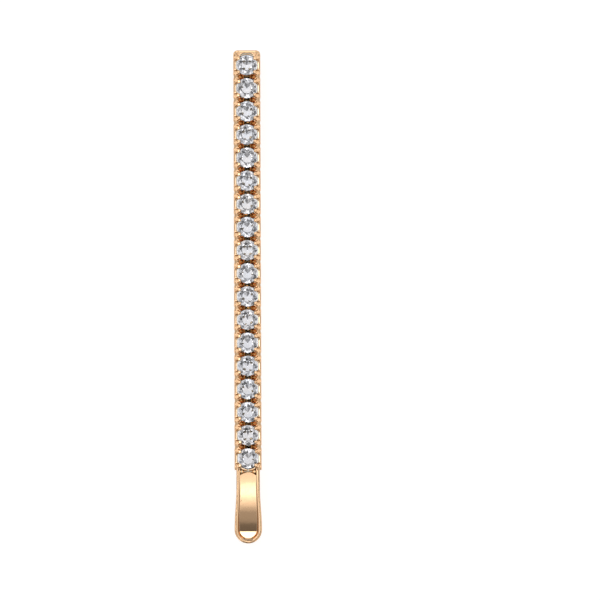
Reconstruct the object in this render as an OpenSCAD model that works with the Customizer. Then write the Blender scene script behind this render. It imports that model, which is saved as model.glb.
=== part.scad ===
/* [Stones] */
// Number of stones in the row
stone_count = 18; // [8:1:24]
// Diameter of a stone at its girdle
stone_d = 2.7; // [2.2:0.1:3.2]
// Space between the girdles of two neighbouring stones
stone_gap = 0.25; // [0.2:0.05:0.4]
// Height of a stone's crown above its girdle
crown_h = 0.38; // [0.32:0.02:0.5]
// Height of a stone's girdle band
girdle_h = 0.1; // [0.06:0.01:0.16]
// Depth of a stone below its girdle
pavilion_h = 1.09; // [1:0.01:1.3]

/* [Setting rail] */
// Metal beside a stone's girdle, on each side of the rail
side_wall = 0.37; // [0.3:0.01:0.6]
// Metal left between a stone's point and the rail's underside
rail_floor = 0.35; // [0.15:0.05:0.5]
// Metal between the first stone and the closed end
end_wall = 0.55; // [0.4:0.05:1]
// Radius of the two corners at the closed end, seen from above
end_corner_r = 0.55; // [0.3:0.05:1]
// Bevel along the rail's upper outer edges
shoulder = 0.16; // [0.08:0.02:0.3]
// Height of the bar below the side arches
side_bar_h = 1.05; // [0.5:0.05:1.2]
// Length of an arch in the side, below a stone
arch_w = 1.4; // [1:0.05:1.8]
// Radius of an arch's two lower corners
arch_corner_r = 0.3; // [0.15:0.05:0.45]
// Radius of the open hole behind a stone
back_hole_r = 0.7; // [0.5:0.05:0.8]
// Metal left outside the pointed ends of the valley between two stones
valley_wall = 0.38; // [0.25:0.01:0.6]
// Length of the valley at its middle, along the row
valley_len = 1.14; // [0.8:0.02:1.2]
// Depth of the valley below the top of the girdle
valley_depth = 0.55; // [0.3:0.05:0.8]
// Depth of the fine nick between the two claws of a pair
nick_depth = 0.1; // [0.05:0.01:0.2]

/* [Claws] */
// Radius of a claw
claw_r = 0.22; // [0.16:0.02:0.26]
// Distance that a claw's end stands above the girdle, at its centre
claw_rise = 0.3; // [0.2:0.02:0.4]
// Distance that a claw's foot stands outside the girdle
claw_foot_out = 0.16; // [0.1:0.02:0.2]
// Distance that a claw's end reaches in from the girdle
claw_reach = 0.14; // [0.1:0.02:0.2]
// Height of a claw's leaning shank
claw_shank_h = 0.72; // [0.5:0.02:0.9]
// Angle of a claw from straight across the row
claw_angle = 42; // [36:1:46]

/* [Tab] */
// Length of the plain tab beyond the stones
tab_len = 9.37; // [7:0.1:14]
// Width of the tab's neck
tab_neck_w = 3; // [2.6:0.05:3.3]
// Width of the tab at its round end
tab_w = 3.5; // [3.3:0.05:4.4]
// Thickness of the tab at its crease
tab_t = 0.75; // [0.5:0.05:1]
// Width of the level rim around the tab
tab_rim_w = 0.33; // [0.2:0.01:0.6]
// Drop of the tab's inner face from the rail to the crease
tab_drop = 0.6; // [0.4:0.05:1]
// Length of the lip beyond the crease
lip_len = 1.52; // [1:0.05:2.2]
// Angle at which the lip turns up
lip_angle = 22; // [10:1:30]
// Length of the straight neck before the tab widens
neck_len = 2; // [1:0.1:3]
// Distance from the rail to the tab's rounded head, at the centre line
head_gap = 0.3; // [0.2:0.05:0.5]
// Metal left beside the hollow between the last stone and the tab
head_hollow_wall = 0.45; // [0.3:0.05:0.7]
// Length of that hollow beside the rounded head
head_hollow_len = 0.45; // [0.2:0.05:0.6]

/* [Spring pin] */
// Thickness of the spring strip
strip_t = 0.45; // [0.35:0.05:0.6]
// Width of the spring strip
strip_w = 2.2; // [1.8:0.1:3]
// Space between the two arms inside the bend
bend_gap = 1.05; // [0.9:0.05:1.6]
// Distance that the bend stays inside the rail's closed end
bend_tuck = 0.1; // [0:0.05:0.5]
// Length of the upper arm that is soldered below the rail
base_len = 13; // [8:0.5:20]
// Size of the solder fillets along the upper arm
fillet = 0.24; // [0.1:0.02:0.4]
// Distance by which the lower arm stops short of the tab's tip
leg_short = 2.9; // [1.5:0.1:6]
// Distance before the upper arm's end at which the lower arm starts to rise
rise_lead = 2; // [1:0.5:3]
// Length of one wave in the lower arm
crimp_pitch = 7; // [6:0.5:9]
// Height of a wave
crimp_h = 1; // [0.6:0.1:1.1]
// Least length of the lower arm's fall from its last wave to its tip
toe_len = 5; // [4:0.5:8]

/* [Clearances] */
// Space between a stone and its seat
stone_clear = 0.03; // [0.02:0.01:0.05]
// Space between the wave crests and the rail's underside when closed
crest_clear = 0.05; // [0.03:0.01:0.15]

/* [Hidden] */
$fn = 48;
rose_gold = [0.87, 0.63, 0.48];
crystal = [0.93, 0.95, 0.98];
solder_tone = [0.8, 0.66, 0.55];

// Length that a cut runs past a face
over = 0.1;

// Shares of the girdle's radius and the height of the facet corners on a stone
table_share = 0.58;
star_share = 0.8;
lower_share = 0.8;
facets = 8;
facet_angle = 360 / facets;
half_facet = facet_angle / 2;
// Turn from one stone to the next about its own axis
stone_turn = 17;

// Points along a wave's rise or fall, and along the tab's curved edges
steps = 10;
curve_steps = 14;

stone_r = stone_d / 2;
pitch = stone_d + stone_gap;
rail_w = stone_d + 2 * side_wall;

// Heights, from the surface that the lower arm lies on
base_z = strip_t + bend_gap;
rail_z = base_z + strip_t;
culet_z = rail_z + rail_floor;
girdle_z = culet_z + pavilion_h;
girdle_top = girdle_z + girdle_h;
table_z = girdle_top + crown_h;
claw_top = girdle_top + claw_rise + claw_r;

// Facet corners of a stone, as radius and height
table_r = stone_r * table_share;
star_r = stone_r * star_share;
star_z = table_z - crown_h * (star_r * cos(half_facet) - table_r) / (stone_r - table_r);
lower_r = stone_r * lower_share;
lower_z = culet_z + pavilion_h * lower_r * cos(half_facet) / stone_r;

// Places along the length, with the middle of the whole clip at zero
gallery_len = stone_r + end_wall + (stone_count - 1) * pitch + pitch / 2;
total_len = gallery_len + tab_len;
closed_y = total_len / 2;
first_y = closed_y - end_wall - stone_r;
tab_y = closed_y - gallery_len;
bend_in_r = bend_gap / 2;
bend_out_r = bend_in_r + strip_t;
bend_y = closed_y - bend_tuck - bend_out_r;
bend_z = strip_t + bend_in_r;
leg_len = bend_y + closed_y - leg_short;
leg_straight = base_len - rise_lead;
crimp_count = floor((leg_len - leg_straight - crimp_pitch - toe_len) / crimp_pitch);

// The claw's inner end, where it stops on the crown
claw_bore_r = stone_r - claw_reach - claw_r;

function stone_name(i) = str("stone_", i < 9 ? "0" : "", i + 1);
function stone_y(i) = first_y - i * pitch;

// Height of the crown's ridges at a radius
function crown_z(r) = lookup(r, [[table_r, table_z], [star_r, star_z], [stone_r, girdle_top]]);
// Height of the pavilion's ridges at a radius
function pavilion_z(r) = lookup(r, [[0, culet_z], [lower_r, lower_z], [stone_r, girdle_z]]);

// A ring of count corners about a stone's axis
function ring(count, r, z, turn) =
    [for (k = [0 : count - 1]) let (a = turn + k * 360 / count) [r * cos(a), r * sin(a), z]];

// A chaton: table, stars, kites, upper girdle facets, girdle, lower girdle facets and pavilion mains
module stone(i) {
    n = facets;
    points = concat(
        ring(n, table_r, table_z, 0),
        ring(n, star_r, star_z, half_facet),
        ring(2 * n, stone_r, girdle_top, 0),
        ring(2 * n, stone_r, girdle_z, 0),
        ring(n, lower_r, lower_z, half_facet),
        [[0, 0, culet_z]]
    );
    star = n;
    top = 2 * n;
    low = 4 * n;
    pav = 6 * n;
    culet = 7 * n;
    faces = concat(
        [[for (k = [0 : n - 1]) n - 1 - k]],
        [for (k = [0 : n - 1]) [k, (k + 1) % n, star + k]],
        [for (k = [0 : n - 1]) [k, star + k, top + 2 * k, star + (k + n - 1) % n]],
        [for (k = [0 : n - 1]) [star + k, top + 2 * k + 1, top + 2 * k]],
        [for (k = [0 : n - 1]) [star + k, top + (2 * k + 2) % (2 * n), top + 2 * k + 1]],
        [for (k = [0 : 2 * n - 1]) let (m = (k + 1) % (2 * n)) [top + k, top + m, low + m, low + k]],
        [for (k = [0 : n - 1]) [pav + k, low + 2 * k, low + 2 * k + 1]],
        [for (k = [0 : n - 1]) [pav + k, low + 2 * k + 1, low + (2 * k + 2) % (2 * n)]],
        [for (k = [0 : n - 1]) [culet, pav + (k + n - 1) % n, low + 2 * k, pav + k]]
    );
    color(crystal)
        translate([0, stone_y(i), 0])
            rotate(stone_turn * i)
                polyhedron(points, faces);
}

// The space that a stone takes, with its open back and the round opening between its claws
module seat() {
    c = stone_clear;
    rotate_extrude() polygon([
        [0, rail_z - over],
        [back_hole_r, rail_z - over],
        [back_hole_r, pavilion_z(back_hole_r - c)],
        [lower_r + c, lower_z],
        [stone_r + c, girdle_z],
        [stone_r + c, girdle_top],
        [star_r + c, star_z + c],
        [claw_bore_r, crown_z(claw_bore_r) + c],
        [claw_bore_r, claw_top + over],
        [0, claw_top + over]
    ]);
}

// One claw, leaning in over the stone, with a round end
module claw() {
    lean_in = claw_foot_out + claw_reach;
    lean = atan(lean_in / claw_shank_h);
    translate([stone_r + claw_foot_out, 0, girdle_top + claw_rise - claw_shank_h])
        rotate([0, -lean, 0]) {
            cylinder(h = claw_shank_h / cos(lean), r = claw_r);
            translate([0, 0, claw_shank_h / cos(lean)]) sphere(r = claw_r);
        }
}

// The rail's outline from above: square at the tab, with two round corners at the closed end
module rail_plan() {
    r = end_corner_r;
    translate([-rail_w / 2, tab_y]) square([rail_w, gallery_len - r]);
    translate([r - rail_w / 2, tab_y]) square([rail_w - 2 * r, gallery_len]);
    for (side = [-1, 1])
        translate([side * (rail_w / 2 - r), closed_y - r]) circle(r = r);
}

// The rail's cross-section, with its shoulders bevelled
module rail_section() {
    h = girdle_top - rail_z;
    w = rail_w / 2;
    polygon([[-w, 0], [w, 0], [w, h - shoulder], [w - shoulder, h], [shoulder - w, h], [-w, h - shoulder]]);
}

// Place of a section that is drawn across the row and runs from the closed end to the tab
module along_row() {
    translate([0, closed_y, rail_z]) rotate([90, 0, 0]) linear_extrude(gallery_len) children();
}

module rail_blank() {
    intersection() {
        translate([0, 0, rail_z]) linear_extrude(girdle_top - rail_z) rail_plan();
        along_row() rail_section();
    }
}

// The opening below one stone, with two round lower corners, through both sides and upwards
module side_arch() {
    r = arch_corner_r;
    w = rail_w + 2 * over;
    z = rail_z + side_bar_h;
    translate([-w / 2, 0, z]) {
        for (side = [-1, 1])
            translate([0, side * (arch_w / 2 - r), r]) rotate([0, 90, 0]) cylinder(h = w, r = r);
        translate([0, r - arch_w / 2, 0]) cube([w, arch_w - 2 * r, claw_top - z]);
        translate([0, -arch_w / 2, r]) cube([w, arch_w, claw_top - z]);
    }
}

// The fine nicks at the border between two stones, in both sides
module nicks() {
    for (side = [-1, 1])
        translate([side * rail_w / 2, 0, rail_z + side_bar_h])
            rotate(45)
                translate([-nick_depth / sqrt(2), -nick_depth / sqrt(2), 0])
                    cube([sqrt(2) * nick_depth, sqrt(2) * nick_depth, girdle_top - rail_z]);
}

// Inner face of the tab: level at the rail, falling in an arc to the crease, then the lip up to the rim
crease_s = tab_len - lip_len;
crease_z = girdle_top - tab_drop;
face_r = (crease_s * crease_s + tab_drop * tab_drop) / (2 * tab_drop);
function face_z(s) = girdle_top - face_r + sqrt(face_r * face_r - s * s);
lip_rise = lip_len * tan(lip_angle);

// The tab's side view, drawn with its length to the right: a level top over its underside
module tab_profile() {
    polygon([
        [-pitch / 4, rail_z], [-pitch / 4, girdle_top], [tab_len, girdle_top],
        [tab_len, crease_z + lip_rise - tab_t], [crease_s, crease_z - tab_t], [0, rail_z]
    ]);
}

// Side view of the space above the inner face
module tray_profile() {
    polygon(concat(
        [for (k = [0 : curve_steps]) let (s = crease_s * k / curve_steps) [s, face_z(s)]],
        [[tab_len, crease_z + lip_rise], [tab_len, claw_top], [0, claw_top]]
    ));
}

// Half the tab's width at a distance from the rail: a straight neck, then a smooth flare
flare_end = tab_len - tab_w / 2;
flare_len = flare_end - neck_len;
function flare(s) = s < neck_len ? 0 : s > flare_end ? 1 : (1 - cos(180 * (s - neck_len) / flare_len)) / 2;
function tab_half_w(s) = (tab_neck_w + (tab_w - tab_neck_w) * flare(s)) / 2;

// The tab from above, drawn with its length to the right, or its inner face inside a rim
module tab_plan(rim) {
    neck = tab_neck_w / 2 - rim;
    at = [for (k = [0 : curve_steps]) neck_len + flare_len * k / curve_steps];
    side = [for (s = at) [s, tab_half_w(s) - rim]];
    back = [for (k = [0 : curve_steps]) [side[curve_steps - k].x, -side[curve_steps - k].y]];
    polygon(concat([[-pitch / 4, -neck], [-pitch / 4, neck]], side, back));
    translate([flare_end, 0]) circle(d = tab_w - 2 * rim);
}

module tab() {
    translate([0, tab_y, 0]) rotate(-90) difference() {
        intersection() {
            rotate([90, 0, 0]) translate([0, 0, -tab_w / 2]) linear_extrude(tab_w) tab_profile();
            translate([0, 0, crease_z - tab_t]) linear_extrude(claw_top) tab_plan(0);
        }
        intersection() {
            rotate([90, 0, 0]) translate([0, 0, -tab_w / 2]) linear_extrude(tab_w) tray_profile();
            translate([0, 0, crease_z - tab_t]) linear_extrude(claw_top) tab_plan(tab_rim_w);
        }
    }
}

// The pointed valley between two stones, seen from above as a diamond
module valley() {
    w = rail_w / 2 - valley_wall;
    translate([0, 0, girdle_top - valley_depth]) linear_extrude(valley_depth + over)
        polygon([[w, 0], [0, valley_len / 2], [-w, 0], [0, -valley_len / 2]]);
}

// The hollow between the last stone and the tab's rounded head
module head_hollow() {
    pair_gap = pitch / 2 - (stone_r + claw_foot_out) * sin(claw_angle) - claw_r;
    cut_len = head_gap + head_hollow_len;
    cut_w = tab_neck_w - 2 * head_hollow_wall;
    translate([0, tab_y, girdle_top - valley_depth]) linear_extrude(valley_depth + over) difference() {
        translate([-cut_w / 2, -cut_len]) square([cut_w, cut_len + pair_gap]);
        translate([0, -head_gap - pitch / 2]) circle(r = pitch / 2);
    }
}

// The cast rail: gallery, claws and plain tab in one piece
module setting_rail() {
    color(rose_gold) difference() {
        union() {
            rail_blank();
            tab();
            for (i = [0 : stone_count - 1])
                for (half = [0, 180])
                    for (side = [-1, 1])
                        translate([0, stone_y(i), 0]) rotate(half + side * claw_angle) claw();
        }
        for (i = [0 : stone_count - 1]) translate([0, stone_y(i), 0]) {
            seat();
            side_arch();
            translate([0, -pitch / 2, 0]) nicks();
        }
        for (i = [1 : stone_count - 1])
            translate([0, stone_y(i) + pitch / 2, 0]) valley();
        head_hollow();
    }
}

// The spring strip's upper arm, soldered below the rail, with a round end
module pin_base() {
    color(rose_gold) translate([0, bend_y, base_z]) linear_extrude(strip_t) {
        translate([-strip_w / 2, strip_w / 2 - base_len]) square([strip_w, base_len - strip_w / 2]);
        translate([0, strip_w / 2 - base_len]) circle(d = strip_w);
    }
}

// Two hollow fillets of solder, in the corners between the upper arm and the rail
module solder() {
    section = concat(
        [[0, 0]],
        [for (k = [0 : steps]) let (a = 90 * k / steps) [fillet * (1 - sin(a)), fillet * (cos(a) - 1)]]
    );
    color(solder_tone)
        for (side = [0, 1])
            mirror([side, 0, 0])
                translate([strip_w / 2, bend_y, rail_z])
                    rotate([90, 0, 0])
                        linear_extrude(base_len - strip_w / 2) polygon(section);
}

// The half turn that joins the two arms
module spring_bend() {
    color(rose_gold) translate([0, bend_y, bend_z]) rotate([0, 90, 0]) rotate_extrude(angle = 180)
        translate([bend_in_r, -strip_w / 2]) square([strip_t, strip_w]);
}

// Height of the lower arm's underside: flat at the bend, waves below the rail, and a fall to the tip
crest_z = rail_z - crest_clear - strip_t;
crest_start = leg_straight + crimp_pitch;
crest_end = crest_start + crimp_count * crimp_pitch;
toe_s = leg_len - strip_w / 2;
function ease(t) = (1 - cos(180 * t)) / 2;
function leg_z(s) =
    s <= leg_straight ? 0 :
    s < crest_start ? crest_z * ease((s - leg_straight) / crimp_pitch) :
    s <= crest_end ? crest_z - crimp_h * ease(2 * (s - crest_start) / crimp_pitch) :
    s < toe_s ? crest_z * ease((toe_s - s) / (toe_s - crest_end)) :
    0;

// The lower arm's stations, close enough together to draw each wave smoothly
leg_stations = concat(
    [0],
    [for (k = [0 : steps - 1]) leg_straight + crimp_pitch * k / steps],
    [for (k = [0 : 2 * steps * crimp_count]) crest_start + crimp_pitch * k / (2 * steps)],
    [for (k = [1 : steps]) crest_end + (toe_s - crest_end) * k / steps],
    [leg_len]
);

// The lower arm: one strip, waved to hold the hair
module spring_leg() {
    last = len(leg_stations) - 1;
    lower = [for (s = leg_stations) [s, leg_z(s)]];
    upper = [for (k = [0 : last]) let (s = leg_stations[last - k]) [s, leg_z(s) + strip_t]];
    color(rose_gold) translate([0, bend_y, 0]) rotate(-90) intersection() {
        rotate([90, 0, 0]) translate([0, 0, -strip_w / 2])
            linear_extrude(strip_w) polygon(concat(lower, upper));
        linear_extrude(rail_z) {
            translate([0, -strip_w / 2]) square([leg_len - strip_w / 2, strip_w]);
            translate([leg_len - strip_w / 2, 0]) circle(d = strip_w);
        }
    }
}

setting_rail();
pin_base();
solder();
spring_bend();
spring_leg();
for (i = [0 : stone_count - 1])
    stone(i);
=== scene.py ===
import math

import bmesh
import bpy
import numpy as np
import openvdb
from mathutils import Matrix, Vector


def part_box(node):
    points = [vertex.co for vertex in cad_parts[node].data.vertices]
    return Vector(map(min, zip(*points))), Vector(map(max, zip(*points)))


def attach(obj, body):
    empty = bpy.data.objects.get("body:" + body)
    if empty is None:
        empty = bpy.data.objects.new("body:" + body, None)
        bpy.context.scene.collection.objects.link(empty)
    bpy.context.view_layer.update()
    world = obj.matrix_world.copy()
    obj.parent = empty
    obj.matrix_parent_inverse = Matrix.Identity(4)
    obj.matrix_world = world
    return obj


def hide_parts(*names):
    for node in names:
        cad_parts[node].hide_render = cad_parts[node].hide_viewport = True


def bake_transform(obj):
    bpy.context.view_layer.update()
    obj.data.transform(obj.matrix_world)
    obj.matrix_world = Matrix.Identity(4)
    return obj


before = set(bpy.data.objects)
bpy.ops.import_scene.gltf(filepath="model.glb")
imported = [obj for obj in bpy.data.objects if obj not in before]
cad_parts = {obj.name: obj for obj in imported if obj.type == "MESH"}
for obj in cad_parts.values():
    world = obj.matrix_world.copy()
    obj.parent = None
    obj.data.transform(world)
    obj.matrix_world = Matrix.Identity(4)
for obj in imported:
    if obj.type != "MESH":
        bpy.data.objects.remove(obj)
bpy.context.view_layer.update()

# The frame is in metres, and the shapes here are worked out in millimetres
MM = 0.001


def box_mm(node):
    low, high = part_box(node)
    return Vector(low) / MM, Vector(high) / MM


def stone_node(i):
    return f"stone_{i + 1:02d}"


# Places that the frame gives
STONES = sum(name.startswith("stone_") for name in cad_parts)
RAIL_LOW, RAIL_HIGH = box_mm("setting_rail")
BASE_LOW, BASE_HIGH = box_mm("pin_base")
LEG_LOW, LEG_HIGH = box_mm("spring_leg")
FIRST_LOW, FIRST_HIGH = box_mm(stone_node(0))
LAST_LOW, LAST_HIGH = box_mm(stone_node(STONES - 1))
CLOSED_Y = RAIL_HIGH.y
TIP_Y = RAIL_LOW.y
CULET_Z = FIRST_LOW.z
TABLE_Z = FIRST_HIGH.z
RAIL_Z = BASE_HIGH.z
BASE_Z = BASE_LOW.z
BEND_Y = LEG_HIGH.y
TAB_HALF = RAIL_HIGH.x

# Stone sizes
STONE_R = 1.35
CROWN_H = 0.38
GIRDLE_H = 0.1
GIRDLE_BEVEL = 0.05
TABLE_SHARE = 0.58
STAR_SHARE = 0.8
LOWER_SHARE = 0.8
FACETS = 8
STONE_TURN = 17
END_LEAN = 1.4
GIRDLE_TOP = TABLE_Z - CROWN_H
GIRDLE_Z = GIRDLE_TOP - GIRDLE_H
PAVILION_H = GIRDLE_Z - CULET_Z
FIRST_Y = round((FIRST_LOW.y + FIRST_HIGH.y) / 2, 2)
PITCH = round((FIRST_Y - (LAST_LOW.y + LAST_HIGH.y) / 2) / (STONES - 1), 2)

# Rail sizes
RAIL_HALF = 1.72
END_CORNER_R = 0.55
FLAT_HALF = 1.0
END_FLAT = 0.24
SHOULDER_SLOPE = math.radians(17)
TOP_EDGE_R = 0.16
UNDER_EDGE_R = 0.12
SCALLOP_DEPTH = 0.05
SCALLOP_REACH = 0.3
BAR_Z = RAIL_Z + 1.05
BAR_PEAK = 1.53
BAR_SLOPE = math.radians(5)
ARCH_HALF = 0.7
ARCH_CORNER_R = 0.25
ARCH_EDGE_R = 0.1
TAB_Y = FIRST_Y - (STONES - 0.5) * PITCH

# The seats, and the gap beside each stone through which its edge shows
BACK_HOLE_R = 0.7
STONE_CLEAR = 0.03
CONE_CLEAR = 0.07
CROWN_CLEAR = 0.02
GAP_HALF_X = 1.39
GAP_HALF_Y = 0.58
GAP_R = 1.43
GAP_INNER_R = 1.2
GAP_FLOOR = 0.5
GAP_EDGE_R = 0.03

# The valleys between the stones, and the notches where they meet the sides
VALLEY_DEPTH = 0.85
VALLEY_FLAT = 0.5
VALLEY_DIP = 0.4
VALLEY_OUTER_RISE = 2
VALLEY_SLOPE = 1.4
VALLEY_SCALE = 1.8
NOTCH_DEPTH = 0.13

# Claw sizes, about a stone's axis
CLAW_TIP = (1.04, 0.86, 0.21)
CLAW_TIP_R = 0.235
CLAW_FOOT = (1.44, 1.1, -0.5)
CLAW_FOOT_R = 0.3
CLAW_TOP = 0.15
CORNER_FOOT = (1.42, 1.56, -0.16)
CORNER_FOOT_R = 0.16
CORNER_TIP_R = 0.2
RIGHT_LEAN = (0.035, 0.02)
LEFT_LEAN = (-0.1, 0.0)
CLAW_FILLET = 0.08

# How far the claws differ from each other: place, height, size and lean
CLAW_SEED = 7
VARY_PLACE = 0.03
VARY_HEIGHT = 0.02
VARY_SIZE = 0.012
VARY_LEAN = 0.012

# The cuts at both ends of the row of stones
END_SLOPE = math.radians(4)
BEVEL_Y = 1.68
BEVEL_HALF = 0.85
GUTTER_R = 1.57
GUTTER_HALF = 0.78
GUTTER_DEPTH = 1.1
RIDGE_Y = 1.6
NICK_R = 1.6
NICK_HALF = 0.09
NICK_DEPTH = 0.3
HEAD_R = 1.475
HEAD_S = 1.775
HOLLOW_R = 1.56
HOLLOW_HALF = 1.04
HOLLOW_END = 1.4
HOLLOW_LEAN = 0.35
HOLLOW_DEPTH = 0.12
HOLLOW_FALL = 0.45
HOLLOW_SCALE = 1.1

# Tab sizes
TAB_LEN = TAB_Y - TIP_Y
TAB_T = 0.75
TAB_DROP = 0.6
TAB_INSET = 0.005
TAB_OVERLAP = 0.6
TAB_UNDER_R = 0.1
TAB_FILLET = 0.1
NECK_HALF = 1.5
NECK_LEN = 2.0
RIM_W = 0.4
RIM_FLARE = 0.06
RIM_TIP_LESS = 0.14
RIM_PROUD = 0.03
RIM_CREST = 0.2
RIM_CROWN_R = 0.6
RIM_EDGE_R = 0.12
RIM_FILLET = 0.06
WALL_LEAN = 0.25
WALL_TIP_LEAN = 1.2
LIP_LEN = 1.52
LIP_SLOPE = math.tan(math.radians(22))
LIP_SIDE = 0.55
LIP_SIDE_LEN = 0.6
LIP_CORNER_R = 0.25
CREASE_S = TAB_LEN - LIP_LEN
CREASE_Z = GIRDLE_TOP - TAB_DROP
FACE_R = (CREASE_S**2 + TAB_DROP**2) / (2 * TAB_DROP)
FLARE_END = TAB_LEN - TAB_HALF

# How far off the surface its hollows are felt, for the painted shade in them
RECESS_REACHES = (0.12, 0.4)

# How softly surfaces of the casting run into each other
SOFT = 0.05
SOFT_END = 0.04
SOFT_CUT = 0.03
SOFT_SEAT = 0.02
SOFT_STONE = 0.015

# A field's value where a cut doesn't reach
FAR = 9.0

# The casting's mesh
VOXEL = 0.05
MARGIN = 0.1
TOP_MARGIN = 0.05
CAST_FACES = 130000
LONG_EDGE = 0.35
SPLITS = 3


def soft_min(a, b, k):
    h = np.clip(0.5 + 0.5 * (b - a) / k, 0, 1)
    return b + (a - b) * h - k * h * (1 - h)


def soft_max(a, b, k):
    return -soft_min(-a, -b, k)


def round_edge(a, b, r):
    """Where two fields meet from inside, with an edge rounded to radius r."""
    return np.minimum(np.maximum(a, b), -r) + np.hypot(np.maximum(a + r, 0), np.maximum(b + r, 0))


def all_of(*fields):
    """Where all the fields are below zero."""
    found = fields[0]
    for field in fields[1:]:
        found = np.maximum(found, field)
    return found


def place_in_row(y):
    """The nearest stone, the point's place along the row from it, and how far the next valley is."""
    i = np.clip(np.rint((FIRST_Y - y) / PITCH), 0, STONES - 1).astype(np.int32)
    yl = y - (FIRST_Y - i * PITCH)
    at_end = ((i == 0) & (yl > 0)) | ((i == STONES - 1) & (yl < 0))
    border = np.where(at_end, FAR, PITCH / 2 - np.abs(yl))
    return i, yl, border


def shoulder_field(out, z):
    """Below a plane that falls away from the rail's top, with how far out a point is."""
    return out * math.sin(SHOULDER_SLOPE) + (z - GIRDLE_TOP) * math.cos(SHOULDER_SLOPE)


def gallery_field(ax, y, z, border):
    """The rail without its cuts: sloped shoulders, round edges and slightly scalloped sides."""
    half = RAIL_HALF - SCALLOP_DEPTH * np.exp(-((border / SCALLOP_REACH) ** 2))
    plan = round_edge(ax - half, y - CLOSED_Y, END_CORNER_R)
    top = soft_max(shoulder_field(ax - FLAT_HALF, z), z - GIRDLE_TOP, SOFT)
    top = soft_max(top, shoulder_field(y - CLOSED_Y + END_FLAT, z), SOFT_END)
    solid = round_edge(round_edge(plan, top, TOP_EDGE_R), RAIL_Z - z, UNDER_EDGE_R)
    return np.maximum(solid, TAB_Y - y)


def arch_field(ax, yl, z):
    """The opening beside each stone, down to a bar with a low ridge along its top."""
    outer = (ax - BAR_PEAK) * math.tan(SHOULDER_SLOPE)
    inner = (BAR_PEAK - ax) * math.tan(BAR_SLOPE)
    floor = BAR_Z - np.maximum(outer, inner)
    return round_edge(np.abs(yl) - ARCH_HALF, (floor - z) * math.cos(SHOULDER_SLOPE), ARCH_CORNER_R)


def tab_field(ax, y, z):
    """The plain tab: a flat that falls in an arc and a lip that turns up, both inside a level rolled rim."""
    s = TAB_Y - y
    share = np.clip((s - NECK_LEN) / (FLARE_END - NECK_LEN), 0, 1)
    half = NECK_HALF + (TAB_HALF - NECK_HALF) * (1 - np.cos(np.pi * share)) / 2
    plan = np.where(s > FLARE_END, np.hypot(ax, s - FLARE_END) - TAB_HALF, ax - half) + TAB_INSET
    face = GIRDLE_TOP - FACE_R + np.sqrt(FACE_R**2 - np.clip(s, 0, CREASE_S) ** 2)
    flat_half = half - LIP_SIDE
    past = np.maximum(round_edge(ax - flat_half, s - CREASE_S, LIP_CORNER_R), 0)
    past = past * (s > CREASE_S - LIP_SIDE_LEN)
    bed = np.maximum(plan, z - face - LIP_SLOPE * past)
    top = z - GIRDLE_TOP - RIM_PROUD + (plan + RIM_CREST) ** 2 / (2 * RIM_CROWN_R)
    near_tip = np.clip((s - CREASE_S) / (LIP_LEN - RIM_W), 0, 1) ** 2
    lean = WALL_LEAN + WALL_TIP_LEAN * near_tip
    wall = -(plan + RIM_W + RIM_FLARE * share - RIM_TIP_LESS * near_tip) - (GIRDLE_TOP - z) * lean
    rim = np.maximum(round_edge(plan, top, RIM_EDGE_R), wall)
    under = RAIL_Z + (CREASE_Z - TAB_T - RAIL_Z) * s / CREASE_S
    under = under + LIP_SLOPE * np.maximum(s - CREASE_S, 0)
    solid = np.maximum(soft_min(rim, bed, RIM_FILLET), plan)
    return np.maximum(round_edge(solid, under - z, TAB_UNDER_R), -TAB_OVERLAP - s)


def stone_space(r, z, reach):
    """The seat that a stone takes, up to a radius."""
    tilt = math.atan2(PAVILION_H, STONE_R)
    cone = (r - (z - CULET_Z) * STONE_R / PAVILION_H) * math.sin(tilt) - CONE_CLEAR
    return np.maximum(cone, r - reach)


def under_crown(r, z):
    """Below the stone's crown, with its clearance."""
    table_r, star_r = STONE_R * TABLE_SHARE, STONE_R * STAR_SHARE
    share = (star_r * math.cos(math.pi / FACETS) - table_r) / (STONE_R - table_r)
    star_z = TABLE_Z - CROWN_H * share
    outer = math.atan2(star_z - GIRDLE_TOP, STONE_R - star_r)
    inner = math.atan2(TABLE_Z - star_z, star_r - table_r)
    low = (z - GIRDLE_TOP) * math.cos(outer) + (r - STONE_R) * math.sin(outer)
    high = (z - star_z) * math.cos(inner) + (r - star_r) * math.sin(inner)
    return np.maximum(low, high) - CROWN_CLEAR


def capsule(p, foot, tip, foot_r, tip_r):
    """A rod with round ends whose radius changes evenly from foot to tip."""
    along = [t - f for f, t in zip(foot, tip)]
    size = sum(a * a for a in along)
    h = np.clip(sum((q - f) * a for q, f, a in zip(p, foot, along)) / size, 0, 1)
    far = np.sqrt(sum((q - f - a * h) ** 2 for q, f, a in zip(p, foot, along)))
    return far - (foot_r + (tip_r - foot_r) * h)


claw_vary = np.random.default_rng(CLAW_SEED).uniform(-1, 1, (STONES, 4, 4)).astype(np.float32)


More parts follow.
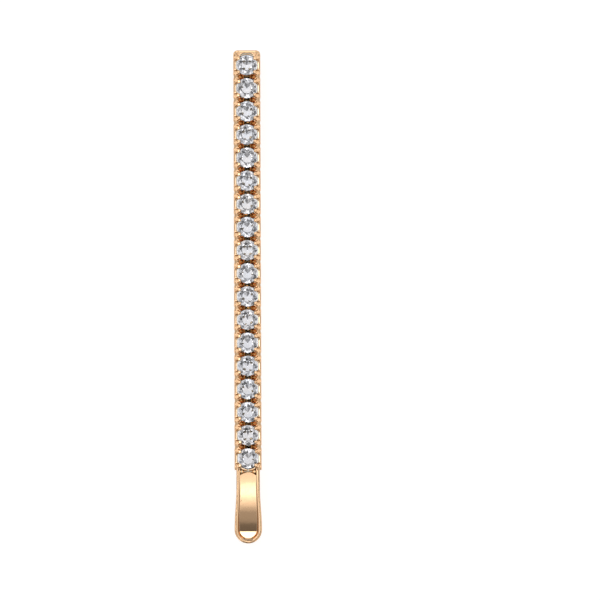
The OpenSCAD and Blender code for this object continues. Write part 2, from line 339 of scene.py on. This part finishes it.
def claw_field(x, yl, z, i):
    """The four claws of the nearest stone, each a little different, as they come from hand setting."""
    corner = (x > 0).astype(np.int32) + 2 * (yl > 0)
    vary = claw_vary[i, corner]
    p = (np.abs(x), np.abs(yl), z)
    tip_x, tip_y, tip_up = CLAW_TIP
    tip = (
        tip_x + VARY_PLACE * vary[..., 0],
        tip_y + VARY_PLACE * vary[..., 1],
        GIRDLE_TOP + tip_up + VARY_HEIGHT * vary[..., 2],
    )
    foot = (*CLAW_FOOT[:2], GIRDLE_TOP + CLAW_FOOT[2])
    claw = capsule(p, foot, tip, CLAW_FOOT_R, CLAW_TIP_R + VARY_SIZE * vary[..., 3])
    corner_foot = (*CORNER_FOOT[:2], GIRDLE_TOP + CORNER_FOOT[2])
    ridge = capsule(p, corner_foot, tip, CORNER_FOOT_R, CORNER_TIP_R)
    at_corner = (i == 0) & (yl > 0)
    claw = np.where(at_corner, soft_min(claw, ridge, SOFT), claw)
    claw = soft_max(claw, p[0] - RAIL_HALF, SOFT)
    dx = x - np.where(x > 0, tip[0], -tip[0])
    dy = yl - np.where(yl > 0, tip[1], -tip[1])
    lean_x = np.where(x > 0, RIGHT_LEAN[0], LEFT_LEAN[0]) + VARY_LEAN * vary[..., 0]
    lean_y = np.where(x > 0, RIGHT_LEAN[1], LEFT_LEAN[1]) + VARY_LEAN * vary[..., 1]
    return soft_max(claw, z - tip[2] - CLAW_TOP + lean_x * dx + lean_y * dy, SOFT)


def first_cuts(ax, z, yl, r):
    """The bevel behind the first stone, and the gutter round it."""
    bevel = GIRDLE_TOP - (BEVEL_Y - yl) * math.tan(END_SLOPE) - z
    bevel = all_of(bevel, ax - BEVEL_HALF, yl - BEVEL_Y)
    gutter = all_of(r - GUTTER_R, ax - GUTTER_HALF, GIRDLE_TOP - GUTTER_DEPTH - z)
    return np.minimum(bevel, gutter)


def last_cuts(x, y, z, yl, r):
    """The two hollows between the last stone and the tab, with a nick between them and the ridge above."""
    ax = np.abs(x)
    s = TAB_Y - y
    lean = HOLLOW_LEAN * (GIRDLE_TOP - z)
    head = HEAD_R - np.hypot(x, s - HEAD_S)
    ring_side = HOLLOW_R - r
    hollow = soft_max(soft_max(head + lean, ring_side + lean, SOFT_END), ax - HOLLOW_HALF + lean, SOFT_END)
    floor = GIRDLE_TOP - HOLLOW_DEPTH - HOLLOW_FALL * ax
    hollow = all_of(hollow, s - HOLLOW_END, (floor - z) / HOLLOW_SCALE)
    nick = all_of(ax - NICK_HALF, r - NICK_R, GIRDLE_TOP - NICK_DEPTH - z)
    ridge = GIRDLE_TOP - (RIDGE_Y + yl) * math.tan(END_SLOPE) - z
    ridge = all_of(ridge, ax - BEVEL_HALF, r - RIDGE_Y)
    return np.minimum(np.minimum(hollow, nick), ridge)


def end_cuts(x, y, z, i, yl, r):
    first = np.where((i == 0) & (yl > 0), first_cuts(np.abs(x), z, yl, r), FAR)
    last = np.where((i == STONES - 1) & (yl < 0), last_cuts(x, y, z, yl, r), FAR)
    return np.minimum(first, last)


def rail_field(x, y, z):
    """Signed distance to the cast rail, in millimetres, below zero inside."""
    i, yl, border = place_in_row(y)
    ax, r = np.abs(x), np.hypot(x, yl)
    solid = soft_min(gallery_field(ax, y, z, border), tab_field(ax, y, z), TAB_FILLET)
    solid = round_edge(solid, -arch_field(ax, yl, z), ARCH_EDGE_R)
    gap = all_of(ax - GAP_HALF_X, r - GAP_R, np.abs(yl) - GAP_HALF_Y, RAIL_Z + GAP_FLOOR - z)
    gap = np.where(r > GAP_INNER_R, gap, FAR)
    past_flat = ax - VALLEY_FLAT
    rise = np.maximum(np.minimum(past_flat, VALLEY_OUTER_RISE * past_flat), -VALLEY_DIP)
    floor = GIRDLE_TOP - VALLEY_DEPTH + rise
    valley = (floor + VALLEY_SLOPE * border - z) / VALLEY_SCALE
    notch = (RAIL_HALF - NOTCH_DEPTH - ax + border) / math.sqrt(2)
    notch = np.maximum(notch, BAR_Z - z)
    solid = soft_max(solid, -valley, SOFT_CUT)
    solid = np.maximum(solid, -notch)
    solid = round_edge(solid, -gap, GAP_EDGE_R)
    seat = np.minimum(stone_space(r, z, STONE_R + STONE_CLEAR), r - BACK_HOLE_R)
    solid = soft_max(solid, -seat, SOFT_SEAT)
    solid = soft_max(solid, -end_cuts(x, y, z, i, yl, r), SOFT_CUT)
    claw = claw_field(x, yl, z, i)
    space = np.maximum(stone_space(r, z, STONE_R + STONE_CLEAR), under_crown(r, z))
    return soft_max(soft_min(solid, claw, CLAW_FILLET), -space, SOFT_STONE)


def filled_field(x, y, z):
    """The rail with its stones in place, as light sees them."""
    _, yl, _ = place_in_row(y)
    r = np.hypot(x, yl)
    return np.minimum(rail_field(x, y, z), np.maximum(stone_space(r, z, STONE_R), under_crown(r, z)))


def field_slope(field, p, step=0.01):
    """Direction in which a field grows, at each point."""
    found = []
    for axis in range(3):
        ahead, behind = p.copy(), p.copy()
        ahead[:, axis] += step
        behind[:, axis] -= step
        found.append(field(*ahead.T) - field(*behind.T))
    return np.stack(found, 1) / (2 * step)


def field_grid(field, low, high, voxel):
    """A field's values on a grid, worked out some rows at a time to spare memory."""
    rows = 100
    count = [int(math.ceil((b - a) / voxel)) + 1 for a, b in zip(low, high)]
    axes = [(a + voxel * np.arange(n)).astype(np.float32) for a, n in zip(low, count)]
    values = np.empty(count, np.float32)
    for start in range(0, count[1], rows):
        part = slice(start, start + rows)
        x, y, z = np.meshgrid(axes[0], axes[1][part], axes[2], indexing="ij")
        values[:, part] = field(x, y, z)
    grid = openvdb.FloatGrid()
    grid.copyFromArray(values)
    return grid


def field_mesh(name, field, low, high, voxel, faces):
    """A mesh of a field's surface: cut from a grid, thinned to about so many faces, drawn onto the field."""
    least_slope = 0.2
    grid = field_grid(field, low, high, voxel)
    points, triangles, quads = grid.convertToPolygons(isovalue=0, adaptivity=0)
    points = points * voxel + np.array(low)
    mesh = bpy.data.meshes.new(name)
    mesh.from_pydata(points.tolist(), [], triangles.tolist() + quads.tolist())
    piece = bpy.data.objects.new(name, mesh)
    bpy.context.scene.collection.objects.link(piece)
    thin = piece.modifiers.new("thin", "DECIMATE")
    thin.ratio = min(1.0, faces / (2 * len(quads) + len(triangles)))
    graph = bpy.context.evaluated_depsgraph_get()
    mesh = bpy.data.meshes.new_from_object(piece.evaluated_get(graph))
    piece.modifiers.clear()
    piece.data = mesh
    split_long_edges(mesh, LONG_EDGE)
    mesh.validate()
    points = np.empty(len(mesh.vertices) * 3)
    mesh.vertices.foreach_get("co", points)
    points = points.reshape(-1, 3)
    slope = field_slope(field, points)
    size = np.maximum((slope**2).sum(1), least_slope)
    move = -field(*points.T)[:, None] * slope / size[:, None]
    points += np.clip(move, -voxel / 2, voxel / 2)
    slope = field_slope(field, points)
    normals = slope / np.maximum(np.linalg.norm(slope, axis=1), 1e-6)[:, None]
    mesh.vertices.foreach_set("co", (points * MM).ravel())
    mesh.update()
    mesh.shade_smooth()
    mesh.normals_split_custom_set_from_vertices(normals.tolist())
    keep_recess_shade(mesh, points, normals)
    return piece


def split_long_edges(mesh, limit):
    """Halve the long edges that thinning leaves across flat faces, so that each stays close to the field."""
    work = bmesh.new()
    work.from_mesh(mesh)
    for _ in range(SPLITS):
        long_edges = [edge for edge in work.edges if edge.calc_length() > limit]
        bmesh.ops.subdivide_edges(work, edges=long_edges, cuts=1)
        bmesh.ops.triangulate(work, faces=work.faces)
    work.to_mesh(mesh)
    work.free()


def keep_recess_shade(mesh, points, normals):
    """How deep each point lies in a hollow, from 0 in the open to 1 inside, for the painted shade there."""
    shade = np.zeros(len(points))
    for reach in RECESS_REACHES:
        free = filled_field(*(points + normals * reach).T) / reach
        shade += np.clip(1 - free, 0, 1) / len(RECESS_REACHES)
    mesh.attributes.new("recess", "FLOAT", "POINT").data.foreach_set("value", shade.astype(np.float32))


def build_rail():
    low = (-TAB_HALF - MARGIN, TIP_Y - MARGIN, RAIL_LOW.z - MARGIN)
    high = (TAB_HALF + MARGIN, CLOSED_Y + MARGIN, RAIL_HIGH.z + TOP_MARGIN)
    rail = field_mesh("rail_casting", rail_field, low, high, VOXEL, CAST_FACES)
    rail.data.materials.append(cast_gold())
    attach(rail, "rail")
    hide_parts("setting_rail")


def mesh_piece(name, points, faces):
    """A piece from points in millimetres."""
    mesh = bpy.data.meshes.new(name)
    mesh.from_pydata([[c * MM for c in p] for p in points], [], faces)
    piece = bpy.data.objects.new(name, mesh)
    bpy.context.scene.collection.objects.link(piece)
    return piece


def smooth_outside(piece, sharp_angle):
    """Faces turned outward and shaded smooth, except across edges sharper than an angle in degrees."""
    work = bmesh.new()
    work.from_mesh(piece.data)
    bmesh.ops.recalc_face_normals(work, faces=work.faces)
    work.to_mesh(piece.data)
    work.free()
    piece.data.shade_smooth()
    piece.data.set_sharp_from_angle(angle=math.radians(sharp_angle))


def ring(count, r, z, turn):
    angles = [math.radians(turn + k * 360 / count) for k in range(count)]
    return [(r * math.cos(a), r * math.sin(a), z) for a in angles]


def stone_shape():
    """Facet corners and faces of a stone about its own axis, with the number of faces above the girdle."""
    n = FACETS
    half = 180 / n
    cut = math.cos(math.radians(half))
    table_r, star_r, lower_r = (STONE_R * share for share in (TABLE_SHARE, STAR_SHARE, LOWER_SHARE))
    star_z = TABLE_Z - CROWN_H * (star_r * cut - table_r) / (STONE_R - table_r)
    lower_z = CULET_Z + PAVILION_H * lower_r * cut / STONE_R
    points = ring(n, table_r, TABLE_Z, 0) + ring(n, star_r, star_z, half)
    points += ring(2 * n, STONE_R - GIRDLE_BEVEL, GIRDLE_TOP, 0) + ring(2 * n, STONE_R, GIRDLE_Z, 0)
    points += ring(n, lower_r, lower_z, half) + [(0, 0, CULET_Z)]
    star, top, low, pav, culet = n, 2 * n, 4 * n, 6 * n, 7 * n
    crown = [list(range(n))]
    pavilion = []
    for k in range(n):
        after, before = (k + 1) % n, (k - 1) % n
        crown.append([k, star + k, after])
        crown.append([k, star + before, top + 2 * k, star + k])
        crown.append([star + k, top + 2 * k, top + 2 * k + 1])
        crown.append([star + k, top + 2 * k + 1, top + (2 * k + 2) % (2 * n)])
        pavilion.append([pav + k, low + 2 * k + 1, low + 2 * k])
        pavilion.append([pav + k, low + (2 * k + 2) % (2 * n), low + 2 * k + 1])
        pavilion.append([culet, pav + k, low + 2 * k, pav + before])
    for k in range(2 * n):
        after = (k + 1) % (2 * n)
        pavilion.append([top + k, low + k, low + after, top + after])
    return points, crown + pavilion, len(crown)


def build_stones():
    """The cut stones, each turned against the one before, and leaning slightly towards the row's ends."""
    points, faces, crown_faces = stone_shape()
    clear, foil = clear_crystal(), mirror_foil()
    middle = Vector((0, 0, GIRDLE_TOP))
    for i in range(STONES):
        lean = math.radians(END_LEAN * (1 - 2 * i / (STONES - 1)))
        turned = Matrix.Rotation(lean, 3, "X") @ Matrix.Rotation(math.radians(STONE_TURN * i), 3, "Z")
        place = middle + Vector((0, FIRST_Y - i * PITCH, 0))
        placed = [turned @ (Vector(p) - middle) + place for p in points]
        piece = mesh_piece(f"cut_{stone_node(i)}", placed, faces)
        piece.data.materials.append(clear)
        piece.data.materials.append(foil)
        for k, face in enumerate(piece.data.polygons):
            face.material_index = 1 if k >= crown_faces else 0
        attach(piece, "rail")
        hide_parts(stone_node(i))


# Spring strip sizes
STRIP_T = BASE_HIGH.z - BASE_LOW.z
STRIP_W = BASE_HIGH.x - BASE_LOW.x
STRIP_EDGE_R = 0.13
STRIP_EDGE_SHARE = 0.45
EDGE_STEPS = 5
END_STEPS = 12
END_HALF = 0.03
LEG_LEN = LEG_HIGH.y - LEG_LOW.y
LEG_STEPS = 330
BEND_STEPS = 40
BASE_LEN = BASE_HIGH.y - BASE_LOW.y
BASE_PAST_STRAIGHT = 2
LEG_STRAIGHT = BASE_LEN - BASE_PAST_STRAIGHT
CRIMP_PITCH = 7.0
CRIMP_H = 1.0
TOE_LEN = 5.0
CREST_CLEAR = 0.05
CREST_Z = RAIL_Z - CREST_CLEAR - STRIP_T
CRIMPS = math.floor((LEG_LEN - LEG_STRAIGHT - CRIMP_PITCH - TOE_LEN) / CRIMP_PITCH)
CREST_START = LEG_STRAIGHT + CRIMP_PITCH
CREST_END = CREST_START + CRIMPS * CRIMP_PITCH
TOE_S = LEG_LEN - STRIP_W / 2


def ease(t):
    return (1 - math.cos(math.pi * t)) / 2


def leg_height(s):
    """Height of the lower arm's underside: flat at the bend, waves below the rail, and a fall to the tip."""
    if s <= LEG_STRAIGHT:
        return 0
    if s < CREST_START:
        return CREST_Z * ease((s - LEG_STRAIGHT) / CRIMP_PITCH)
    if s <= CREST_END:
        return CREST_Z - CRIMP_H * ease(2 * (s - CREST_START) / CRIMP_PITCH)
    if s < TOE_S:
        return CREST_Z * ease((TOE_S - s) / (TOE_S - CREST_END))
    return 0


def strip_ring(half, thick):
    """Corners of the strip's section, with its edges rounded as rolled strip has them."""
    r = min(STRIP_EDGE_R, half * STRIP_EDGE_SHARE)
    corners = [(half, 1), (half, 0), (-half, 0), (-half, 1)]
    points = []
    for k, (x, up) in enumerate(corners):
        cx = x - math.copysign(r, x)
        cz = thick - r if up else r
        for step in range(EDGE_STEPS + 1):
            a = math.radians(90 - 90 * k - 90 / EDGE_STEPS * step)
            points.append((cx + r * math.cos(a), cz + r * math.sin(a)))
    return points


def strip_piece(name, stations, body=None):
    """A strip along stations, each (y, z of the underside, lean of the strip in radians, half width)."""
    points, faces = [], []
    for y, z, lean, half in stations:
        for x, h in strip_ring(half, STRIP_T):
            points.append((x, y + h * math.sin(lean), z + h * math.cos(lean)))
    size = 4 * (EDGE_STEPS + 1)
    for k in range(len(stations) - 1):
        for m in range(size):
            n = (m + 1) % size
            faces.append([k * size + m, k * size + n, (k + 1) * size + n, (k + 1) * size + m])
    faces.append(list(range(size)))
    faces.append([(len(stations) - 1) * size + m for m in reversed(range(size))])
    piece = mesh_piece(name, points, faces)
    smooth_outside(piece, sharp_angle=50)
    piece.data.materials.append(strip_gold())
    if body:
        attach(piece, body)
    return piece


def round_end(length):
    """Distances along a strip's last stretch, with the half width that draws its round end."""
    r = STRIP_W / 2
    for step in range(1, END_STEPS + 1):
        a = math.radians(90 * step / END_STEPS)
        yield length - r + r * math.sin(a), max(r * math.cos(a), END_HALF)


def build_base():
    stations = [(BEND_Y, BASE_Z, 0, STRIP_W / 2), (BEND_Y + STRIP_W / 2 - BASE_LEN, BASE_Z, 0, STRIP_W / 2)]
    for s, half in round_end(BASE_LEN):
        stations.append((BEND_Y - s, BASE_Z, 0, half))
    piece = strip_piece("pin_upper_arm", stations, "rail")
    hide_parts("pin_base")


def build_leg():
    step = 0.01
    places = [(s, STRIP_W / 2) for s in np.linspace(0, TOE_S, LEG_STEPS)] + list(round_end(LEG_LEN))
    stations = []
    for s, half in places:
        slope = (leg_height(s + step) - leg_height(s - step)) / (2 * step) if s > 2 * step else 0
        stations.append((BEND_Y - s, leg_height(s), math.atan(slope), half))
    piece = strip_piece("pin_lower_arm", stations, "lower_arm")
    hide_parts("spring_leg")


def build_bend():
    inner = (BASE_Z - STRIP_T) / 2
    middle = STRIP_T + inner
    outer = inner + STRIP_T
    stations = []
    for step in range(BEND_STEPS + 1):
        a = math.radians(180 * step / BEND_STEPS)
        y, z = BEND_Y + outer * math.sin(a), middle - outer * math.cos(a)
        stations.append((y, z, -a, STRIP_W / 2))
    piece = strip_piece("pin_bend", stations)
    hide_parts("spring_bend")
    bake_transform(piece)


# Solder sizes
SOLDER_SEED = 11
FILLET = 0.23
FILLET_FULL = 0.86
FILLET_WAVE = 0.12
FILLET_STEPS = 8
FILLET_STATIONS = 90
WAVES_PER_MM = (1.3, 2.9, 5.1)
TAPER_LEN = 0.5
TAPER_LEAST = 0.15
INTO_STRIP = 0.02
INTO_RAIL = 0.01


def build_solder():
    """Two hollow fillets beside the upper arm, a little uneven along their length."""
    steps, count = FILLET_STEPS, FILLET_STATIONS
    length = BASE_LEN - STRIP_W / 2
    chance = np.random.default_rng(SOLDER_SEED).uniform(0, 2 * math.pi, (2, len(WAVES_PER_MM)))
    points, faces = [], []
    for side, phase in zip((-1, 1), chance):
        first = len(points)
        for k in range(count + 1):
            s = length * k / count
            wave = sum(math.sin(f * s + p) for f, p in zip(WAVES_PER_MM, phase)) / len(WAVES_PER_MM)
            taper = min(1, math.sqrt(max(0, min(s, length - s)) / TAPER_LEN) + TAPER_LEAST)
            size = FILLET * (FILLET_FULL + FILLET_WAVE * wave) * taper
            x0, y = side * STRIP_W / 2, BEND_Y - s
            points.append((x0 - side * INTO_STRIP, y, RAIL_Z + INTO_RAIL))
            for m in range(steps + 1):
                a = math.radians(90 * m / steps)
                points.append((x0 + side * size * (1 - math.sin(a)), y, RAIL_Z - size * (1 - math.cos(a))))
        size = steps + 2
        for k in range(count):
            for m in range(size):
                a, b = first + k * size + m, first + k * size + (m + 1) % size
                faces.append([a, b, b + size, a + size])
        faces.append([first + m for m in range(size)])
        faces.append([first + count * size + m for m in reversed(range(size))])
    piece = mesh_piece("solder_fillets", points, faces)
    smooth_outside(piece, sharp_angle=60)
    piece.data.materials.append(solder_metal())
    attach(piece, "rail")
    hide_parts("solder")


def new_material(name):
    """A node material, its link function, its shader, and a function that adds nodes to it."""
    material = bpy.data.materials.new(name)
    material.use_nodes = True
    tree = material.node_tree
    shader = tree.nodes["Principled BSDF"]

    def add(kind, **values):
        node = tree.nodes.new(kind)
        for key, value in values.items():
            if key in node.inputs:
                node.inputs[key].default_value = value
            else:
                setattr(node, key, value)
        return node

    return material, tree.links.new, shader, add


def object_noise(link, add, scale, stretch=(1, 1, 1), detail=3.0):
    """Noise fixed to the object, with a scale per millimetre."""
    place = add("ShaderNodeTexCoord")
    mapping = add("ShaderNodeMapping", Scale=[scale * c / MM for c in stretch])
    noise = add("ShaderNodeTexNoise", Scale=1.0, Detail=detail)
    link(place.outputs["Object"], mapping.inputs["Vector"])
    link(mapping.outputs["Vector"], noise.inputs["Vector"])
    return noise.outputs["Fac"]


def vary_between(link, add, source, low, high):
    """A number between low and high, from the middle range of a source."""
    spread = add("ShaderNodeMapRange")
    spread.inputs["From Min"].default_value = 0.3
    spread.inputs["From Max"].default_value = 0.7
    spread.inputs["To Min"].default_value = low
    spread.inputs["To Max"].default_value = high
    link(source, spread.inputs["Value"])
    return spread.outputs["Result"]


def tint_between(link, add, source, one, two):
    mix = add("ShaderNodeMix", data_type="RGBA")
    mix.inputs[6].default_value = (*one, 1)
    mix.inputs[7].default_value = (*two, 1)
    link(source, mix.inputs[0])
    return mix.outputs[2]


def raise_surface(link, add, shader, source, height):
    """Bumps of a height in millimetres."""
    bump = add("ShaderNodeBump", Strength=1.0, Distance=height * MM)
    link(source, bump.inputs["Height"])
    link(bump.outputs["Normal"], shader.inputs["Normal"])


def painted_hollow_shade(link, add, recess):
    """Painted shade in hollows: the plate turns paler at their mouths and dark at their bottoms."""
    ramp = add("ShaderNodeValToRGB")
    stops = [(0.7, (0.95, 0.89, 0.74)), (1.0, (0.36, 0.29, 0.19))]
    for step, (place, colour) in zip(ramp.color_ramp.elements, stops):
        step.position = place
        step.color = (*colour, 1)
    link(recess, ramp.inputs["Fac"])
    return ramp.outputs["Color"]


def cast_gold():
    """Polished rose-gold plate over a casting: soft tone changes, faint polishing marks, and painted shade
    in its hollows.
    """
    material, link, shader, add = new_material("rose_gold_cast")
    shader.inputs["Metallic"].default_value = 1.0
    tone = object_noise(link, add, scale=0.6)
    tint = tint_between(link, add, tone, (0.92, 0.59, 0.34), (0.95, 0.62, 0.37))
    # Painted shade: the colour moves to a paler one and then to dark brown the deeper a point lies in a
    # hollow
    recess = add("ShaderNodeAttribute", attribute_name="recess").outputs["Fac"]
    mix = add("ShaderNodeMix", data_type="RGBA")
    link(vary_between(link, add, recess, low=0, high=1), mix.inputs[0])
    link(tint, mix.inputs[6])
    link(painted_hollow_shade(link, add, recess), mix.inputs[7])
    link(mix.outputs[2], shader.inputs["Base Color"])
    shader.inputs["Specular Tint"].default_value = (0.35, 0.28, 0.2, 1)
    marks = object_noise(link, add, scale=5.0, stretch=(1, 0.4, 1), detail=5.0)
    link(vary_between(link, add, marks, low=0.03, high=0.07), shader.inputs["Roughness"])
    waves = object_noise(link, add, scale=1.6, detail=2.0)
    raise_surface(link, add, shader, waves, height=0.001)
    return material


def strip_gold():
    """Rolled spring strip: fine lines along its length under the plate."""
    material, link, shader, add = new_material("rose_gold_rolled")
    shader.inputs["Metallic"].default_value = 1.0
    tone = object_noise(link, add, scale=0.5)
    tint = tint_between(link, add, tone, (0.9, 0.57, 0.36), (0.95, 0.63, 0.41))
    link(tint, shader.inputs["Base Color"])
    lines = object_noise(link, add, scale=14.0, stretch=(1, 0.03, 1), detail=4.0)
    link(vary_between(link, add, lines, low=0.18, high=0.32), shader.inputs["Roughness"])
    raise_surface(link, add, shader, lines, height=0.003)
    return material


def solder_metal():
    """Solder below the plate: duller and rippled."""
    material, link, shader, add = new_material("plated_solder")
    shader.inputs["Metallic"].default_value = 1.0
    tone = object_noise(link, add, scale=1.5)
    tint = tint_between(link, add, tone, (0.82, 0.6, 0.44), (0.88, 0.68, 0.52))
    link(tint, shader.inputs["Base Color"])
    ripples = object_noise(link, add, scale=3.0)
    link(vary_between(link, add, ripples, low=0.25, high=0.42), shader.inputs["Roughness"])
    raise_surface(link, add, shader, ripples, height=0.02)
    return material


def clear_crystal():
    """Cut crystal: clear, with hard facets."""
    material, link, shader, add = new_material("clear_crystal")
    shader.inputs["Transmission Weight"].default_value = 1.0
    shader.inputs["Roughness"].default_value = 0.0
    shader.inputs["IOR"].default_value = 1.56
    tone = object_noise(link, add, scale=0.4)
    link(tint_between(link, add, tone, (0.97, 0.98, 1.0), (1.0, 0.99, 0.98)), shader.inputs["Base Color"])
    return material


def mirror_foil():
    """Silvering behind the stone, with the faint tints that light picks up in cut crystal."""
    material, link, shader, add = new_material("mirror_foil")
    shader.inputs["Metallic"].default_value = 1.0
    tone = object_noise(link, add, scale=0.9, stretch=(1, 1, 0.2), detail=1.0)
    link(tint_between(link, add, tone, (0.84, 0.88, 0.95), (0.97, 0.93, 0.9)), shader.inputs["Base Color"])
    marks = object_noise(link, add, scale=4.0)
    link(vary_between(link, add, marks, low=0.01, high=0.04), shader.inputs["Roughness"])
    return material


def build_floor():
    """A plain pale surface under the clip."""
    size = 2000
    corners = [(-size, -size, 0), (size, -size, 0), (size, size, 0), (-size, size, 0)]
    piece = mesh_piece("floor", corners, [[0, 1, 2, 3]])
    material, _, shader, _ = new_material("pale_floor")
    shader.inputs["Base Color"].default_value = (0.4, 0.4, 0.4, 1)
    shader.inputs["Roughness"].default_value = 0.7
    shader.inputs["Emission Color"].default_value = (1, 1, 1, 1)
    shader.inputs["Emission Strength"].default_value = 0.77
    piece.data.materials.append(material)


# Studio light. A list of stops gives (degrees, brightness), and places are azimuth (0 is +X, 90 is +Y) and
# tilt from straight up, in degrees
NO_LIGHT = 0.001
DOME = [
    (0, 0.42), (5, 0.38), (9, 0.5), (12, 0.95), (15, 1.1), (19, 0.84),
    (24, 0.8), (32, 0.6), (45, 0.48), (75, 0.3), (84, 0.7), (90, 0.9),
]

# Dark cards: azimuth, tilt, and how much of the dome's light stays at each angle from there
SIDE_CARD = [(0, 0.25), (7.5, 0.28), (11.5, 1.0)]
CARDS = [
    (-90, 30, [(0, 0.16), (13.4, 0.17), (14.6, 0.33), (16.9, 0.38), (18, 0.62), (19.2, 1.0)]),
    (-90, 44, [(0, 0.3), (10, 0.35), (15, 1.0)]),
    (-124, 27, SIDE_CARD),
    (-56, 27, SIDE_CARD),
]

# Small dark cards: azimuth, tilt and radius
SMALL_CARDS = [(180, 5, 3), (-28, 5, 5), (-60, 4, 4.5), (-120, 4, 4.5), (122, 3.5, 3.5)]
SMALL_CARD_MIDDLE = 0.1
SMALL_CARD_HALFWAY = 0.2

# Bright panels: azimuth, tilt, radius and brightness
PANELS = [
    (30, 4, 4, 1.1), (75, 4, 3, 0.8), (90, 8, 2, 1.0), (172, 7, 3, 0.5), (180, 11.4, 3.2, 2.6),
    (0, 11, 3, 1.2), (-125, 9.5, 3, 0.9), (-58, 9.5, 3, 0.6), (150, 9.5, 3, 0.6),
    (45, 62, 16, 1.3), (135, 64, 16, 1.1), (-45, 62, 16, 1.1), (-135, 62, 16, 1.3),
]
PANEL_CORE = 0.4
PANEL_CORE_LIGHT = 0.85

# A strip light along the clip's length, on the tab's side: by tilt, by angle off its line, and its ends
STRIP_TILT = [
    (0, 0.8), (2.6, 1.2), (3.8, 1.28), (5.3, 1.95), (6.2, 2.05), (7.6, 1.7), (9, 0.95), (11.4, 0.03),
    (12, NO_LIGHT),
]
STRIP_OFF = [(0, 1.0), (0.7, 0.95), (1.4, NO_LIGHT)]
STRIP_MIDDLE = (-90, 20)
STRIP_ENDS = [(0, 1.0), (20, 1.0), (22, NO_LIGHT)]

# Two large soft lights: azimuth, tilt and stops
LARGE_LIGHTS = [
    (82, 44, [(0, 2.5), (10, 2.1), (18, NO_LIGHT)]),
    (135, 40, [(0, 2.0), (9, 1.7), (14, NO_LIGHT)]),
]


def build_world():
    """A soft studio dome with panels and a strip overhead, and dark cards that give the metal contrast."""
    world = bpy.data.worlds.new("studio")
    bpy.context.scene.world = world
    world.use_nodes = True
    tree = world.node_tree
    link = tree.links.new
    background = tree.nodes["Background"]

    def math_node(operation, *values):
        node = tree.nodes.new("ShaderNodeMath")
        node.operation = operation
        for k, value in enumerate(values):
            if isinstance(value, (int, float)):
                node.inputs[k].default_value = value
            else:
                link(value, node.inputs[k])
        return node.outputs[0]

    place = tree.nodes.new("ShaderNodeTexCoord")

    def angle_from(direction):
        """Angle in degrees between where a ray goes and a direction."""
        dot = tree.nodes.new("ShaderNodeVectorMath")
        dot.operation = "DOT_PRODUCT"
        dot.inputs[1].default_value = direction
        link(place.outputs["Generated"], dot.inputs[0])
        return math_node("MULTIPLY", math_node("ARCCOSINE", dot.outputs["Value"]), 180 / math.pi)

    def ramp(source, stops):
        """A brightness that follows an angle through (degrees, brightness) stops."""
        span = 90
        top = max(level for _, level in stops)
        node = tree.nodes.new("ShaderNodeValToRGB")
        marks = node.color_ramp
        marks.interpolation = "EASE"
        while len(marks.elements) < len(stops):
            marks.elements.new(0.5)
        for element, (angle, level) in zip(marks.elements, stops):
            element.position = angle / span
            element.color = (level / top,) * 3 + (1,)
        link(math_node("DIVIDE", source, span), node.inputs["Fac"])
        return math_node("MULTIPLY", node.outputs["Color"], top)

    def spot(azimuth, tilt, stops):
        """A brightness by the angle from a place in the sky."""
        a, t = math.radians(azimuth), math.radians(tilt)
        return ramp(angle_from((math.cos(a) * math.sin(t), math.sin(a) * math.sin(t), math.cos(t))), stops)

    dome = ramp(angle_from((0, 0, 1)), DOME)
    shade = 1.0
    for card in CARDS:
        shade = math_node("MINIMUM", shade, spot(*card))
    for azimuth, tilt, r in SMALL_CARDS:
        stops = [(0, SMALL_CARD_MIDDLE), (r / 2, SMALL_CARD_HALFWAY), (r, 1.0)]
        shade = math_node("MULTIPLY", shade, spot(azimuth, tilt, stops))
    total = math_node("MULTIPLY", dome, shade)
    for azimuth, tilt, r, level in PANELS:
        stops = [(0, level), (PANEL_CORE * r, PANEL_CORE_LIGHT * level), (r, NO_LIGHT)]
        total = math_node("ADD", total, spot(azimuth, tilt, stops))
    off_middle = math_node("ABSOLUTE", math_node("SUBTRACT", angle_from((1, 0, 0)), 90))
    strip = math_node("MULTIPLY", ramp(angle_from((0, 0, 1)), STRIP_TILT), ramp(off_middle, STRIP_OFF))
    strip = math_node("MULTIPLY", strip, spot(*STRIP_MIDDLE, STRIP_ENDS))
    total = math_node("ADD", total, strip)
    for light in LARGE_LIGHTS:
        total = math_node("ADD", total, spot(*light))
    background.inputs["Color"].default_value = (1, 1, 1, 1)
    link(total, background.inputs["Strength"])


# The camera's place, and its turn in degrees
CAMERA_AT = (6.69, -0.42, 1533.5)
CAMERA_TURN = -0.19


def build_camera():
    """Straight above the clip, with the frame that the photograph has."""
    data = bpy.data.cameras.new("camera")
    data.lens = 720
    data.sensor_width = 36
    data.clip_start = 0.01
    data.clip_end = 10
    camera = bpy.data.objects.new("camera", data)
    bpy.context.scene.collection.objects.link(camera)
    camera.location = [c * MM for c in CAMERA_AT]
    camera.rotation_euler = (0, 0, math.radians(CAMERA_TURN))
    bpy.context.scene.camera = camera


def set_colours():
    bpy.context.scene.view_settings.view_transform = "Standard"
    bpy.context.scene.view_settings.look = "None"


build_camera()
build_world()
set_colours()
build_floor()
build_rail()
build_stones()
build_base()
build_leg()
build_bend()
build_solder()
